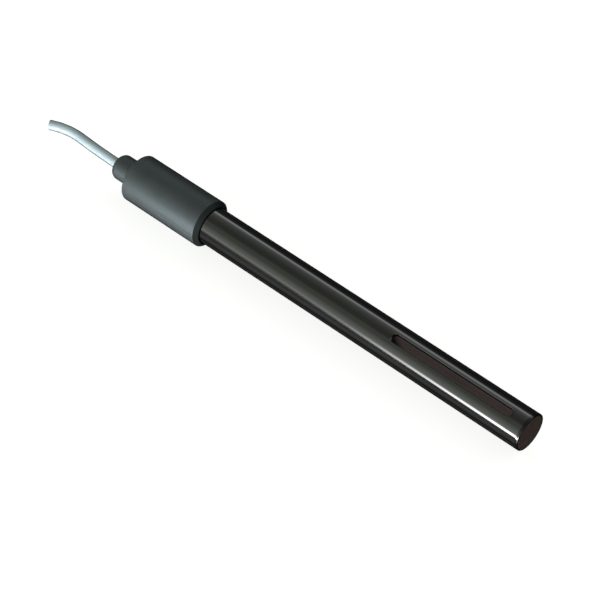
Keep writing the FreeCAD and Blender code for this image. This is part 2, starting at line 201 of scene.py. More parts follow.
# ------------------------------------------------------------ slotted shell and core
FRONT_ROWS = (1.2, 3.0, 4.7)                          # grid rows between the tip and the slot
SLOT_ROWS = (12.0, 18.0, ELECTRODE_FRONT, ELECTRODE_BACK, 36.0, 42.0)
BACK_ROWS = (49.5, 52.0, 60.0, 75.0, 90.0, 105.0)     # between the slot and the boot
BORE_ROWS = (110.0, 80.0, 52.0, 49.5)                 # in the bore, from the back to the slot
SECTOR = 30.0             # the grid bends round the slot within this angle of its middle
SECTOR_STEPS = 8
SIDE_STEP = 5.0
ARC_STEPS = 12            # grid rows over a quarter turn of the slot's end
RIM_STEPS = 1             # one flat step, which catches the light as a thin line


def slot_rows():
    """The slot's outline as (centre distance, turn) rows, from its tip end round to its back end."""
    front = SLOT_FRONT + SLOT_R
    back = SLOT_BACK - SLOT_R
    quarter = [90.0 * step / ARC_STEPS for step in range(ARC_STEPS + 1)]
    rows = [(front, turn) for turn in quarter]
    rows += [(distance, 90.0) for distance in SLOT_ROWS]
    rows += [(back, 90.0 + turn) for turn in quarter]
    return rows


def slot_outline(row, outset=0.0):
    """(distance, y) on the slot's outline, or on the same outline moved outwards."""
    centre, turn = row
    r = SLOT_R + outset
    return centre - r * math.cos(math.radians(turn)), r * math.sin(math.radians(turn))


def half_angles(edge_angle):
    """Angles of a half row, from the upper slot's edge round to the lower slot's edge."""
    near = [edge_angle + (SECTOR - edge_angle) * step / SECTOR_STEPS for step in range(SECTOR_STEPS)]
    side_steps = round((180.0 - 2 * SECTOR) / SIDE_STEP)
    side = [SECTOR + SIDE_STEP * step for step in range(side_steps + 1)]
    return near + side + [180.0 - angle for angle in reversed(near)]


def around(distance, radius, angle, side):
    turn = math.radians(angle)
    return lean((-distance, side * radius * math.sin(turn), radius * math.cos(turn)))


def surface_row(entry, radius, outset, side):
    """Half a ring of the surface. entry is a distance away from the slot, or one of the slot's rows."""
    if not isinstance(entry, tuple):
        return [around(entry, radius, angle, side) for angle in half_angles(0.0)]
    edge_distance, edge_y = slot_outline(entry, outset)
    base_distance = slot_outline(entry)[0]
    edge_angle = math.degrees(math.asin(edge_y / radius))
    row = []
    for angle in half_angles(edge_angle):
        from_edge = min(angle, 180.0 - angle) - edge_angle
        share = min(1.0, max(0.0, from_edge / (SECTOR - edge_angle)))
        distance = edge_distance + (base_distance - edge_distance) * share
        row.append(around(distance, radius, angle, side))
    return row


def wall_point(row, outset, depth, radius, side, end):
    """A point of the slot's wall, depth below the surface of that radius. end is +1 up and -1 down."""
    distance, y = slot_outline(row, outset)
    return lean((-distance, side * y, end * (math.sqrt(radius**2 - y**2) - depth)))


def shaft_shell():
    """The black tube, with the slot's bevelled rims."""
    rows = slot_rows()
    tip_corner = [(0, SHAFT_R, TIP_BREAK), (BOOT_FRONT, SHAFT_R), (BOOT_FRONT, 0), (0, 0)]
    outside = rounded(tip_corner)[: ROUND_STEPS + 1]
    outside += [(d, SHAFT_R) for d in FRONT_ROWS] + [(row, SHAFT_R) for row in rows]
    outside += [(d, SHAFT_R) for d in (*BACK_ROWS, BOOT_FRONT)]
    outside += [(BOOT_FRONT, SPIGOT_R), (GROOVE_FRONT, SPIGOT_R), (GROOVE_FRONT, GROOVE_R)]
    outside += [(GROOVE_BACK, GROOVE_R), (GROOVE_BACK, SPIGOT_R), (TUBE_BACK, SPIGOT_R)]
    inside = [(d, BORE_R) for d in (TUBE_BACK, *BORE_ROWS)]
    inside += [(row, BORE_R) for row in reversed(rows)]
    inside += [(FRONT_ROWS[-1], BORE_R), (SEAT_DEPTH, BORE_R), (SEAT_DEPTH, SEAT_R), (0.0, SEAT_R)]
    points, faces = [], []
    for side in (1, -1):
        outer = [surface_row(entry, radius, SLOT_RIM, side) for entry, radius in outside]
        inner = [surface_row(entry, radius, 0.0, side) for entry, radius in inside]
        add_grid(points, faces, outer + inner, close_rows=True)
        for end in (1, -1):
            strips = [[rim_point(row, step, side, end) for row in rows] for step in range(RIM_STEPS + 1)]
            strips.append([wall_point(row, 0.0, 0.0, BORE_R, side, end) for row in rows])
            add_grid(points, faces, strips)
    return make_piece("shaft_shell", points, faces)


def rim_point(row, step, side, end):
    """A point of the bevelled rim: step 0 is on the tube's surface and the last one on the slot's wall."""
    turn = math.radians(90.0 * step / RIM_STEPS)
    outset = SLOT_RIM * (1 - math.sin(turn))
    depth = SLOT_RIM * (1 - math.cos(turn))
    return wall_point(row, outset, depth, SHAFT_R, side, end)


CORE_EDGE = 0.08          # the bevel round the head's face
FACE_RINGS = (0.0, 1.3, 2.6, 3.9, 4.8)                # radii of the grid's rings on the tip's face


def cell_core():
    """The brown-black core: its head is the tip face, and the slot runs through it past the electrodes."""
    rows = slot_rows()
    outline = [(0.0, r) for r in FACE_RINGS] + [(0.0, SEAT_R - CORE_EDGE), (CORE_EDGE, SEAT_R)]
    outline += [(SEAT_DEPTH, SEAT_R), (SEAT_DEPTH, BORE_R), (FRONT_ROWS[-1], BORE_R)]
    outline += [(row, BORE_R) for row in rows]
    outline += [(BACK_ROWS[0], BORE_R), (CORE_BACK, BORE_R), (CORE_BACK, 0.0)]
    points, faces = [], []
    for side in (1, -1):
        add_grid(points, faces, [surface_row(entry, radius, 0.0, side) for entry, radius in outline])
        add_slot_wall(points, faces, rows, side)
    return make_piece("cell_core", points, faces)


def add_slot_wall(points, faces, rows, side):
    """One side of the slot's wall, right through the core, with the pocket that an electrode sits in."""
    upper = [wall_point(row, 0.0, 0.0, BORE_R, side, 1) for row in rows]
    high = [wall_at(row, ELECTRODE_HALF_H, side) for row in rows]
    low = [wall_at(row, -ELECTRODE_HALF_H, side) for row in rows]
    lower = [wall_point(row, 0.0, 0.0, BORE_R, side, -1) for row in rows]
    add_grid(points, faces, [upper, high])
    add_grid(points, faces, [low, lower])
    pocket = [distance for distance, turn in rows].index(ELECTRODE_FRONT)
    add_grid(points, faces, [high[: pocket + 1], low[: pocket + 1]])
    add_grid(points, faces, [high[pocket + 1 :], low[pocket + 1 :]])
    mouth = [high[pocket], high[pocket + 1], low[pocket + 1], low[pocket]]
    inwards = Vector(lean((0.0, side * ELECTRODE_T, 0.0)))
    floor = [tuple(Vector(corner) + inwards) for corner in mouth]
    add_grid(points, faces, [mouth, floor], close_columns=True)
    add_grid(points, faces, [floor[:2], [floor[3], floor[2]]])


def wall_at(row, z, side):
    distance, y = slot_outline(row)
    return lean((-distance, side * y, z))


# ------------------------------------------------------------ boot
PARTING_ANGLES = (90.0, 270.0)
PARTING_HEIGHT = 0.035
PARTING_HALF_WIDTH = 1.2  # degrees
PARTING_STEP = 0.4        # degrees between the grid's columns at the parting line
PARTING_COLUMNS = 4       # such columns on each side of it
BOOT_STEP = 3.0           # degrees between them elsewhere
LIP_ROUND = 0.05
CHAMFER_ROUND = 0.15
BACK_ROUND = 0.5
NECK_ROOT_ROUND = 0.4
NECK_END_ROUND = 2.0
MOUTH_ROUND = 0.12
BORE_MARGIN = 0.01        # tells the surface of the boot's bores from its outside


def boot_swell(distance, radius, angle):
    """Adds the moulding's parting line along both sides of the boot's outside."""
    in_shaft_bore = radius < LIP_R + BORE_MARGIN and distance < PLUG_BACK + BORE_MARGIN
    in_cable_bore = radius < CABLE_R + MOUTH_ROUND - BORE_MARGIN
    if in_shaft_bore or in_cable_bore:
        return radius
    off = min(abs(angle - parting) for parting in PARTING_ANGLES) / PARTING_HALF_WIDTH
    return radius + PARTING_HEIGHT * max(0.0, 1 - off**2)


def boot_moulding():
    """The collar and neck, with the key that sits in the tube's groove."""
    outline = rounded(
        [
            (BOOT_FRONT + LIP_DEPTH, SPIGOT_R),
            (BOOT_FRONT + LIP_DEPTH, LIP_R),
            (BOOT_FRONT, LIP_R, LIP_ROUND),
            (BOOT_FRONT, BOOT_R - BOOT_CHAMFER, CHAMFER_ROUND),
            (BOOT_FRONT + BOOT_CHAMFER, BOOT_R, CHAMFER_ROUND),
            (COLLAR_BACK, BOOT_R, BACK_ROUND),
            (COLLAR_BACK, NECK_R, NECK_ROOT_ROUND),
            (MOUTH, NECK_R, NECK_END_ROUND),
            (MOUTH, CABLE_R, MOUTH_ROUND),
            (PLUG_BACK, CABLE_R),
            (PLUG_BACK, SPIGOT_R),
            (GROOVE_BACK, SPIGOT_R),
            (GROOVE_BACK, GROOVE_R),
            (GROOVE_FRONT, GROOVE_R),
            (GROOVE_FRONT, SPIGOT_R),
        ]
    )
    angles = {BOOT_STEP * step for step in range(round(360.0 / BOOT_STEP))}
    for parting in PARTING_ANGLES:
        angles |= {parting + PARTING_STEP * step for step in range(-PARTING_COLUMNS, PARTING_COLUMNS + 1)}
    return turned("boot_moulding", outline, sorted(angles), boot_swell)


# ------------------------------------------------------------ cable
def station(place):
    """Point, tangent and sideways normal of the cable's centre line, place mm out from the mouth."""
    point = Vector((-MOUTH, 0.0, 0.0))
    heading = 0.0
    left = place
    for length, turn in CABLE_RUN:
        run = min(left, length)
        half_turn = math.radians(turn) * run / length / 2
        chord = run if abs(half_turn) < 1e-9 else run * math.sin(half_turn) / half_turn
        course = heading + half_turn
        point = point + Vector((-math.cos(course), -math.sin(course), 0.0)) * chord
        heading += 2 * half_turn
        left -= run
        if place <= length:
            break
    tangent = Vector((-math.cos(heading), -math.sin(heading), 0.0))
    normal = Vector((math.sin(heading), -math.cos(heading), 0.0))
    return point, tangent, normal


def cable_point(place, radius, angle):
    """A point beside the centre line. The angle turns from straight up towards the sideways normal."""
    point, tangent, normal = station(place)
    up = Vector((0.0, 0.0, 1.0))
    return point + (up * math.cos(math.radians(angle)) + normal * math.sin(math.radians(angle))) * radius


RUN_TOLERANCE = 0.01      # how far the run may pass from a hinge


def check_run():
    """Stops if the run doesn't pass through the frame's hinges."""
    for name, place in BENDS.items():
        gap = (station(place)[0] - Vector(JOINTS[name]["pos_m"]) / MM).length
        if gap > RUN_TOLERANCE:
            raise RuntimeError(f"the cable's run misses the hinge {name} by {gap:.3f} mm")


SHEATH_COLUMNS = 48
SHEATH_STEP = 0.25
SHEATH_EDGE = 0.1         # how far the sheath's cut end is rounded
PRINT_HEIGHT = 0.012      # how far the braid under the sheath shows through
PRINT_PITCH = 3.2
PRINT_CARRIERS = 8
PRINT_FADE_IN = 1.0       # length over which the print fades in from the boot
PRINT_FADE_OUT = 0.5      # and out again at the cut end


def sheath_radius(place, angle):
    """The sheath's outside, where the braid's weave shows through faintly."""
    along = 360.0 * place / PRINT_PITCH
    weave = math.cos(math.radians(PRINT_CARRIERS * angle + along))
    weave += math.cos(math.radians(PRINT_CARRIERS * angle - along))
    fade_in = max(0.0, place) / PRINT_FADE_IN
    fade_out = max(0.0, CABLE_LEN - place) / PRINT_FADE_OUT
    fade = min(1.0, fade_in, fade_out)
    return CABLE_R + PRINT_HEIGHT * (weave / 2 - 1) * fade


def sheath(name, start, end, rounded_end):
    """A closed tube along the cable, from start to end mm out from the boot's mouth."""
    shown_from = max(start, 0.0)
    count = max(2, round((end - shown_from) / SHEATH_STEP))
    places = [shown_from + (end - shown_from) * step / count for step in range(count + 1)]
    if start < 0.0:
        places = [start] + places
    # (place, radius) rings. The printed outside has no radius of its own.
    rings = [(place, None) for place in places[:-1]]
    if rounded_end:
        middle = SHEATH_EDGE * 0.3
        rings += [(end - SHEATH_EDGE, None), (end - middle, CABLE_R - middle)]
        rings += [(end, CABLE_R - SHEATH_EDGE)]
    else:
        rings += [(end, None)]
    rings += [(place, SHEATH_BORE_R) for place in reversed(places)]
    angles = [360.0 * column / SHEATH_COLUMNS for column in range(SHEATH_COLUMNS)]
    rows = []
    for place, radius in rings:
        radii = [sheath_radius(place, angle) if radius is None else radius for angle in angles]
        rows.append([tuple(cable_point(place, r, angle)) for r, angle in zip(radii, angles)])
    points, faces = [], []
    add_grid(points, faces, rows, close_rows=True, close_columns=True)
    return make_piece(name, points, faces)


def strand_rows(path, radius, columns):
    """Rings of points round a path of (point, tangent) pairs."""
    rows = []
    for point, tangent in path:
        up = Vector((0.0, 0.0, 1.0))
        side = tangent.cross(up).normalized()
        rise = side.cross(tangent).normalized()
        ring = []
        for column in range(columns):
            turn = 2 * math.pi * column / columns
            ring.append(tuple(point + (side * math.cos(turn) + rise * math.sin(turn)) * radius))
        rows.append(ring)
    return rows


def add_strand(points, faces, path, radius, columns):
    """Adds a closed round wire along a path."""
    rows = strand_rows(path, radius, columns)
    first = len(points)
    add_grid(points, faces, rows, close_columns=True)
    faces.append([first + column for column in range(columns)])
    last = first + (len(rows) - 1) * columns
    faces.append([last + column for column in reversed(range(columns))])


INNER_START = BENDS["cable_lift"] + 0.8       # where the layers of the cable's end length start
BRAID_CARRIERS = 8
BRAID_WIRES = 3           # wires side by side in a carrier
BRAID_WIRE_R = 0.035
BRAID_WIRE_COLUMNS = 6
BRAID_WIRE_TURN = 4.4     # degrees between those wires
BRAID_OVER = 0.04         # how far a carrier rises and dips as it crosses the others
BRAID_END_GAP = 0.03      # how far it stops short of the cable's cut end
BRAID_PITCH = 9.0         # length in which a carrier makes one turn
BRAID_STEPS = 60


def braid_weave():
    """The braid in the cable's end length: carriers of fine wires that wind both ways, over and under."""
    points, faces = [], []
    for way in (1, -1):
        for carrier in range(BRAID_CARRIERS):
            for wire in range(BRAID_WIRES):
                start_angle = 360.0 * carrier / BRAID_CARRIERS + (wire - 1) * BRAID_WIRE_TURN
                path = []
                for step in range(BRAID_STEPS + 1):
                    place = INNER_START + (CABLE_LEN - BRAID_END_GAP - INNER_START) * step / BRAID_STEPS
                    turn = 360.0 * (place - INNER_START) / BRAID_PITCH
                    over = way * BRAID_OVER * math.cos(math.radians(BRAID_CARRIERS * turn))
                    path.append(cable_point(place, BRAID_R + over, start_angle + way * turn))
                add_strand(points, faces, with_tangents(path), BRAID_WIRE_R, BRAID_WIRE_COLUMNS)
    return make_piece("braid_weave", points, faces, sharp_degrees=60)


def with_tangents(line):
    """Pairs each point of a line with its direction there."""
    pairs = []
    for i, point in enumerate(line):
        before = line[max(i - 1, 0)]
        after = line[min(i + 1, len(line) - 1)]
        pairs.append((point, (after - before).normalized()))
    return pairs


CONDUCTOR_COLUMNS = 24
CONDUCTOR_STEPS = 24


def conductor_cover(colour):
    """A conductor's coloured insulation in the cable's end length, as a closed tube."""
    angle = CONDUCTOR_ANGLES[colour] - SLOT_LEAN
    line = []
    for step in range(CONDUCTOR_STEPS + 1):
        place = INNER_START + (CABLE_LEN - INNER_START) * step / CONDUCTOR_STEPS
        line.append(cable_point(place, CONDUCTOR_OFFSET, angle))
    path = with_tangents(line)
    outside = strand_rows(path, CONDUCTOR_R, CONDUCTOR_COLUMNS)
    inside = strand_rows(path, CORE_R, CONDUCTOR_COLUMNS)
    points, faces = [], []
    add_grid(points, faces, outside + inside[::-1], close_rows=True, close_columns=True)
    return make_piece(f"conductor_cover_{colour}", points, faces)


CORE_STRANDS = 6
CORE_STRAND_R = 0.055
CORE_STRAND_COLUMNS = 8
CORE_LAY = 7.0            # length in which the strands of a core make one turn
CORE_STEPS = 48


def stranded_cores():
    """The four copper cores of the cable's end length, each a centre strand with six wound round it."""
    points, faces = [], []
    for angle in CONDUCTOR_ANGLES.values():
        for strand in range(CORE_STRANDS + 1):
            line = []
            for step in range(CORE_STEPS + 1):
                place = INNER_START + (CABLE_LEN - INNER_START) * step / CORE_STEPS
                centre = cable_point(place, CONDUCTOR_OFFSET, angle - SLOT_LEAN)
                if strand < CORE_STRANDS:
                    turn = 360.0 * (strand / CORE_STRANDS + (place - INNER_START) / CORE_LAY)
                    centre = centre + cable_point(place, 2 * CORE_STRAND_R, turn) - station(place)[0]
                line.append(centre)
            add_strand(points, faces, with_tangents(line), CORE_STRAND_R, CORE_STRAND_COLUMNS)
    return make_piece("core_strands", points, faces, sharp_degrees=60)


# ------------------------------------------------------------ material helpers
class Shader:
    """A principled material, with the few node chains that the materials here are made of."""

    def __init__(self, name):
        self.material = bpy.data.materials.new(name)
        self.material.use_nodes = True
        self.tree = self.material.node_tree
        self.tree.nodes.clear()
        output = self.tree.nodes.new("ShaderNodeOutputMaterial")
        self.surface = self.tree.nodes.new("ShaderNodeBsdfPrincipled")
        self.tree.links.new(self.surface.outputs["BSDF"], output.inputs["Surface"])
        coordinates = self.tree.nodes.new("ShaderNodeTexCoord")
        self.places = coordinates.outputs["Object"]

    def noise(self, size_mm, stretch=(1.0, 1.0, 1.0), detail=3.0, distortion=0.0):
        """Noise with features of about size_mm, longer along an axis by its stretch."""
        mapping = self.tree.nodes.new("ShaderNodeMapping")
        mapping.inputs["Scale"].default_value = [1.0 / (size_mm * MM * s) for s in stretch]
        self.tree.links.new(self.places, mapping.inputs["Vector"])
        node = self.tree.nodes.new("ShaderNodeTexNoise")
        node.inputs["Scale"].default_value = 1.0
        node.inputs["Detail"].default_value = detail
        node.inputs["Distortion"].default_value = distortion
        self.tree.links.new(mapping.outputs["Vector"], node.inputs["Vector"])
        return node.outputs["Fac"]

    def between(self, factor, low, high, from_low=0.3, from_high=0.7):
        """A value that runs from low to high as the factor does."""
        node = self.tree.nodes.new("ShaderNodeMapRange")
        node.inputs["From Min"].default_value = from_low
        node.inputs["From Max"].default_value = from_high
        node.inputs["To Min"].default_value = low
        node.inputs["To Max"].default_value = high
        self.tree.links.new(factor, node.inputs["Value"])
        return node.outputs["Result"]

    def colours(self, factor, stops):
        """A colour ramp of (place, colour) stops."""
        node = self.tree.nodes.new("ShaderNodeValToRGB")
        ramp = node.color_ramp
        while len(ramp.elements) < len(stops):
            ramp.elements.new(0.5)
        for element, (place, colour) in zip(ramp.elements, stops):
            element.position = place
            element.color = (*colour, 1.0)
        self.tree.links.new(factor, node.inputs["Fac"])
        return node.outputs["Color"]

    def bump(self, height, depth_mm):
        """Bumps of a true depth in mm."""
        node = self.tree.nodes.new("ShaderNodeBump")
        node.inputs["Strength"].default_value = 1.0
        node.inputs["Distance"].default_value = depth_mm * MM
        self.tree.links.new(height, node.inputs["Height"])
        return node.outputs["Normal"]

    def towards_edge(self, start, end):
        """1 up to the start share of turning away from the viewer, falling to 0 at the end share."""
        node = self.tree.nodes.new("ShaderNodeLayerWeight")
        node.inputs["Blend"].default_value = 0.5
        return self.between(node.outputs["Facing"], 1.0, 0.0, start, end)

    def along(self, low, high, from_mm, to_mm):
        """A value that runs from low to high between two places along the probe's X."""
        split = self.tree.nodes.new("ShaderNodeSeparateXYZ")
        self.tree.links.new(self.places, split.inputs["Vector"])
        return self.between(split.outputs["X"], low, high, from_mm * MM, to_mm * MM)

    def product(self, first, second):
        return math_node(self.tree, "MULTIPLY", first, second)

    def times(self, colour, factor):
        """A colour multiplied by a value."""
        node = self.tree.nodes.new("ShaderNodeVectorMath")
        node.operation = "SCALE"
        self.tree.links.new(colour, node.inputs[0])
        self.tree.links.new(factor, node.inputs["Scale"])
        return node.outputs["Vector"]

    def set(self, name, value):
        socket = self.surface.inputs[name]
        if isinstance(value, bpy.types.NodeSocket):
            self.tree.links.new(value, socket)
        else:
            socket.default_value = value


def shade(colour, factor):
    return tuple(channel * factor for channel in colour)


# ------------------------------------------------------------ materials
SLOT_SHADE_SHARE = 0.32    # painted shade in the slot: how bright the slot's wall is beside the tip's face
SLOT_SHADE_FROM = -1.5     # where along X (mm) the face's tone starts to turn into the wall's painted shade
SLOT_SHADE_TO = -3.0
CHAMFER_SHADE_SHARE = 0.4       # painted shade on the boot's front chamfer: how bright it is beside the rest of the boot
CHAMFER_BLUR = 0.05       # half the length (mm) over which that painted shade fades in there


def shaft_gloss():
    """Black extruded plastic with a high polish: faint draw lines along it and slightly duller patches."""
    shader = Shader("shaft_gloss")
    lines = shader.noise(0.5, stretch=(150.0, 1.0, 1.0), detail=2.0)
    patches = shader.noise(9.0, stretch=(2.5, 1.0, 1.0))
    dark, light = (0.0012, 0.0012, 0.0013), (0.0024, 0.0024, 0.0022)
    shader.set("Base Color", shader.colours(patches, [(0.3, dark), (0.7, light)]))
    shader.set("Roughness", shader.between(patches, 0.07, 0.10))
    shader.set("Normal", shader.bump(lines, 0.0004))
    return shader.material


def cell_plastic():
    """Unpolished brown-black resin, slightly mottled. Painted shade makes it darker in the slot than on the tip's
    face.
    """
    shader = Shader("cell_plastic")
    mottle = shader.noise(1.6, detail=5.0)
    grain = shader.noise(0.09, detail=4.0)
    # painted shade: the resin's colour is darkened behind the tip's face, where the slot's wall lies in shade
    inwards = shader.along(1.0, SLOT_SHADE_SHARE, SLOT_SHADE_FROM, SLOT_SHADE_TO)
    dark, light = (0.048, 0.0305, 0.0275), (0.066, 0.0420, 0.0375)
    colour = shader.colours(mottle, [(0.3, dark), (0.7, light)])
    shader.set("Base Color", shader.times(colour, inwards))
    shader.set("Roughness", shader.between(grain, 0.55, 0.75))
    shader.set("Normal", shader.bump(grain, 0.004))
    shader.set("Specular IOR Level", 0.3)
    return shader.material


def boot_rubber():
    """Soft moulded elastomer with a blue-green cast: fine grain, with painted shade towards its silhouette and on
    its front chamfer.
    """
    shader = Shader("boot_rubber")
    cloud = shader.noise(5.0, detail=4.0)
    grain = shader.noise(0.16, detail=3.0)
    # painted shade: colour and gloss darken towards the silhouette
    painted_shade = shader.towards_edge(0.70, 0.88)
    # painted shade: the front chamfer's colour and gloss are darkened
    chamfer_end = -BOOT_FRONT - BOOT_CHAMFER
    front = shader.along(1.0, CHAMFER_SHADE_SHARE, chamfer_end - CHAMFER_BLUR, chamfer_end + CHAMFER_BLUR)
    painted_shade = shader.product(painted_shade, front)
    dark, light = (0.0185, 0.0200, 0.0205), (0.0235, 0.0250, 0.0256)
    shader.set("Base Color", shader.times(shader.colours(cloud, [(0.3, dark), (0.7, light)]), painted_shade))
    shader.set("Roughness", shader.between(cloud, 0.50, 0.56))
    shader.set("Normal", shader.bump(grain, 0.005))
    shader.set("Specular IOR Level", shader.between(painted_shade, 0.1, 0.5, 0.0, 1.0))
    shader.set("Specular Tint", (0.72, 0.93, 1.0, 1.0))
    return shader.material


def sheath_vinyl():
    """Blue-grey vinyl cable jacket: satin, uneven in tone, with painted shade darkening it towards its silhouette.
    """
    shader = Shader("sheath_vinyl")
    tone = shader.noise(3.0, stretch=(3.0, 1.0, 1.0))
    scuffs = shader.noise(0.5, stretch=(2.0, 1.0, 1.0), detail=5.0, distortion=0.6)
    # painted shade: colour and gloss darken towards the silhouette
    painted_shade = shader.towards_edge(0.42, 0.75)
    dark, light = (0.255, 0.315, 0.355), (0.30, 0.365, 0.41)
    shader.set("Base Color", shader.times(shader.colours(tone, [(0.3, dark), (0.7, light)]), painted_shade))
    shader.set("Roughness", shader.between(scuffs, 0.40, 0.55))
    shader.set("Normal", shader.bump(shader.noise(0.12, detail=3.0), 0.003))
    shader.set("Specular IOR Level", shader.between(painted_shade, 0.05, 0.5, 0.0, 1.0))
    return shader.material


def graphite():
    """Ground graphite filled with the cell's brown-black resin, with fine grinding lines."""
    shader = Shader("graphite")
    lines = shader.noise(0.08, stretch=(12.0, 1.0, 1.0), detail=4.0)
    dark, light = (0.014, 0.0095, 0.0090), (0.022, 0.0145, 0.0140)
    shader.set("Base Color", shader.colours(lines, [(0.3, dark), (0.7, light)]))
    shader.set("Specular IOR Level", 0.25)
    shader.set("Roughness", shader.between(lines, 0.5, 0.7))
    shader.set("Normal", shader.bump(lines, 0.003))
    return shader.material


def plain_plastic(name, colour, roughness):
    """Small plastic parts: slightly uneven colour, with fine grain."""
    shader = Shader(name)
    tone = shader.noise(1.2, detail=4.0)
    grain = shader.noise(0.2)
    dark, light = shade(colour, 0.85), shade(colour, 1.12)
    shader.set("Base Color", shader.colours(tone, [(0.3, dark), (0.7, light)]))
    shader.set("Roughness", shader.between(grain, roughness * 0.85, roughness * 1.15))
    shader.set("Normal", shader.bump(grain, 0.002))
    return shader.material


def metal(name, colour, roughness):
    """Small metal parts: drawn or cut metal with fine lines and a little tarnish."""
    shader = Shader(name)
    lines = shader.noise(0.06, stretch=(10.0, 1.0, 1.0), detail=4.0)
    tarnish = shader.noise(0.8, detail=5.0)
    shader.set("Base Color", shader.colours(tarnish, [(0.35, shade(colour, 0.7)), (0.6, colour)]))
    shader.set("Metallic", 1.0)
    shader.set("Roughness", shader.between(lines, roughness * 0.8, roughness * 1.3))
    shader.set("Normal", shader.bump(lines, 0.002))
    return shader.material


def bead_glass():
    """Greenish glass bead with fine seeds in it."""
    shader = Shader("bead_glass")
    seeds = shader.noise(0.25, detail=2.0)
    shader.set("Base Color", shader.colours(seeds, [(0.4, (0.25, 0.42, 0.32)), (0.7, (0.4, 0.6, 0.48))]))
    shader.set("Roughness", shader.between(seeds, 0.05, 0.12))
    shader.set("Transmission Weight", 0.6)
    return shader.material


def make_materials():
    return {
        "shaft_plastic": shaft_gloss(),
        "cell_plastic": cell_plastic(),
        "boot_rubber": boot_rubber(),
        "cable_plastic": sheath_vinyl(),
        "graphite": graphite(),
        "bead_glass": bead_glass(),
        "gilt_brass": metal("gilt_brass", (0.78, 0.58, 0.26), 0.3),
        "copper": metal("copper", (0.80, 0.42, 0.28), 0.32),
        "solder_metal": metal("solder_metal", (0.62, 0.62, 0.65), 0.28),
        "braid_metal": metal("braid_metal", (0.66, 0.65, 0.62), 0.34),
        "bedding_epoxy": plain_plastic("bedding_epoxy", (0.32, 0.32, 0.31), 0.45),
        "potting_epoxy": plain_plastic("potting_epoxy", (0.018, 0.018, 0.02), 0.35),
        "sleeve_plastic": plain_plastic("sleeve_plastic", (0.02, 0.02, 0.02), 0.5),
        "plug_plastic": plain_plastic("plug_plastic", (0.03, 0.03, 0.03), 0.5),
        "wire_red": plain_plastic("wire_red", (0.45, 0.02, 0.015), 0.32),
        "wire_white": plain_plastic("wire_white", (0.72, 0.72, 0.68), 0.32),
        "wire_black": plain_plastic("wire_black", (0.015, 0.015, 0.016), 0.32),
        "wire_green": plain_plastic("wire_green", (0.02, 0.20, 0.05), 0.32),
    }


def paint(piece, material):
    piece.data.materials.clear()
    piece.data.materials.append(material)


# ------------------------------------------------------------ the probe
def build_probe(materials):
    """Paints the CAD nodes, and puts finer pieces in place of those that show."""
    for part in frame["record"]["subparts"]:
        paint(frame["nodes"][part["node"]], materials[part["material_slot"]])

    def add(piece, slot, nodes, body="probe"):
        """Paints a piece, lets it stand for its CAD nodes and makes it ride on a body."""
        paint(piece, materials[slot])
        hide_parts(*nodes)
        if body:
            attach(piece, body)

    add(shaft_shell(), "shaft_plastic", ["body_tube"])
    add(cell_core(), "cell_plastic", ["cell_block"])
    add(boot_moulding(), "boot_rubber", ["boot"])
    near = sheath("sheath_near", JACKET_FRONT - MOUTH, NEAR_END, False)
    far = sheath("sheath_far", NEAR_END, CABLE_LEN, True)
    add(near, "cable_plastic", ["cable_jacket", "cable_jacket_mid"], body=None)
    add(far, "cable_plastic", ["cable_jacket_end"], body=None)
    bend_across(near, "cable_swing")
    bend_across(far, "cable_lift")
    add(braid_weave(), "braid_metal", ["cable_braid_end"], "cable_far")
    add(stranded_cores(), "copper", ["cable_cores_end"], "cable_far")
    for colour in CONDUCTOR_ANGLES:
        add(conductor_cover(colour), f"wire_{colour}", [f"conductor_{colour}_end"], "cable_far")


def bend_across(piece, joint):
    """Bakes a sheath piece's transform into its mesh. The ends of a bend about the hinge are worked out but not
    used, so the piece does not bend.
    """
    place = BENDS[joint]
    start = station(place - BEND_REACH)[0] * MM
    end = station(place + BEND_REACH)[0] * MM
    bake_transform(piece)


# ------------------------------------------------------------ studio
CAMERA_AZIMUTH = 41.41
CAMERA_ELEVATION = 48.08
CAMERA_DISTANCE = 0.671
CAMERA_AIM = Vector((-0.0806, -0.0051, 0.0))
CAMERA_LENS = 138.0
SENSOR = 36.0
PALE = (1.0, 1.0, 1.0)

# The soft boxes round the probe: (degrees above the -Y horizon, brightness, tint). 90 is straight up and
# 180 is the +Y horizon.
NEUTRAL = (0.96, 1.0, 0.98)
WARM = (0.95, 1.0, 0.92)
WARMER = (0.95, 1.0, 0.85)
BANDS = [
    (-180.0, 0.05, NEUTRAL),
    (-175.0, 0.09, NEUTRAL),
    (-168.0, 0.03, NEUTRAL),
    (-92.0, 0.01, NEUTRAL),
    (-79.0, 0.12, NEUTRAL),
    (-72.0, 0.09, NEUTRAL),
    (-61.0, 0.02, NEUTRAL),
    (-50.0, 0.25, NEUTRAL),
    (-38.0, 0.60, NEUTRAL),
    (-31.0, 0.54, NEUTRAL),
    (-19.0, 0.34, NEUTRAL),
    (-12.0, 0.32, NEUTRAL),
    (-5.0, 0.95, WARM),
    (0.0, 2.0, WARM),
    (4.5, 3.6, WARM),
    (10.0, 2.5, WARM),
    (34.0, 1.42, WARMER),
    (46.0, 0.88, WARMER),
    (57.0, 0.98, WARMER),
    (70.0, 0.49, WARMER),
    (88.0, 0.50, WARMER),
    (112.0, 0.84, WARM),
    (124.0, 1.08, NEUTRAL),
    (130.0, 1.7, NEUTRAL),
    (136.5, 3.6, NEUTRAL),
    (141.0, 2.4, NEUTRAL),
    (147.0, 0.4, NEUTRAL),
    (153.0, 0.1, NEUTRAL),
    (160.0, 0.16, NEUTRAL),
    (172.0, 0.02, NEUTRAL),
    (180.0, 0.05, NEUTRAL),
]

# How bright the bands are by the direction's share along X, positive or negative.
BANDS_ALONG = [(0.0, 0.35), (0.26, 0.35), (0.32, 1.0), (0.55, 1.0), (0.62, 0.55), (1.0, 0.55)]

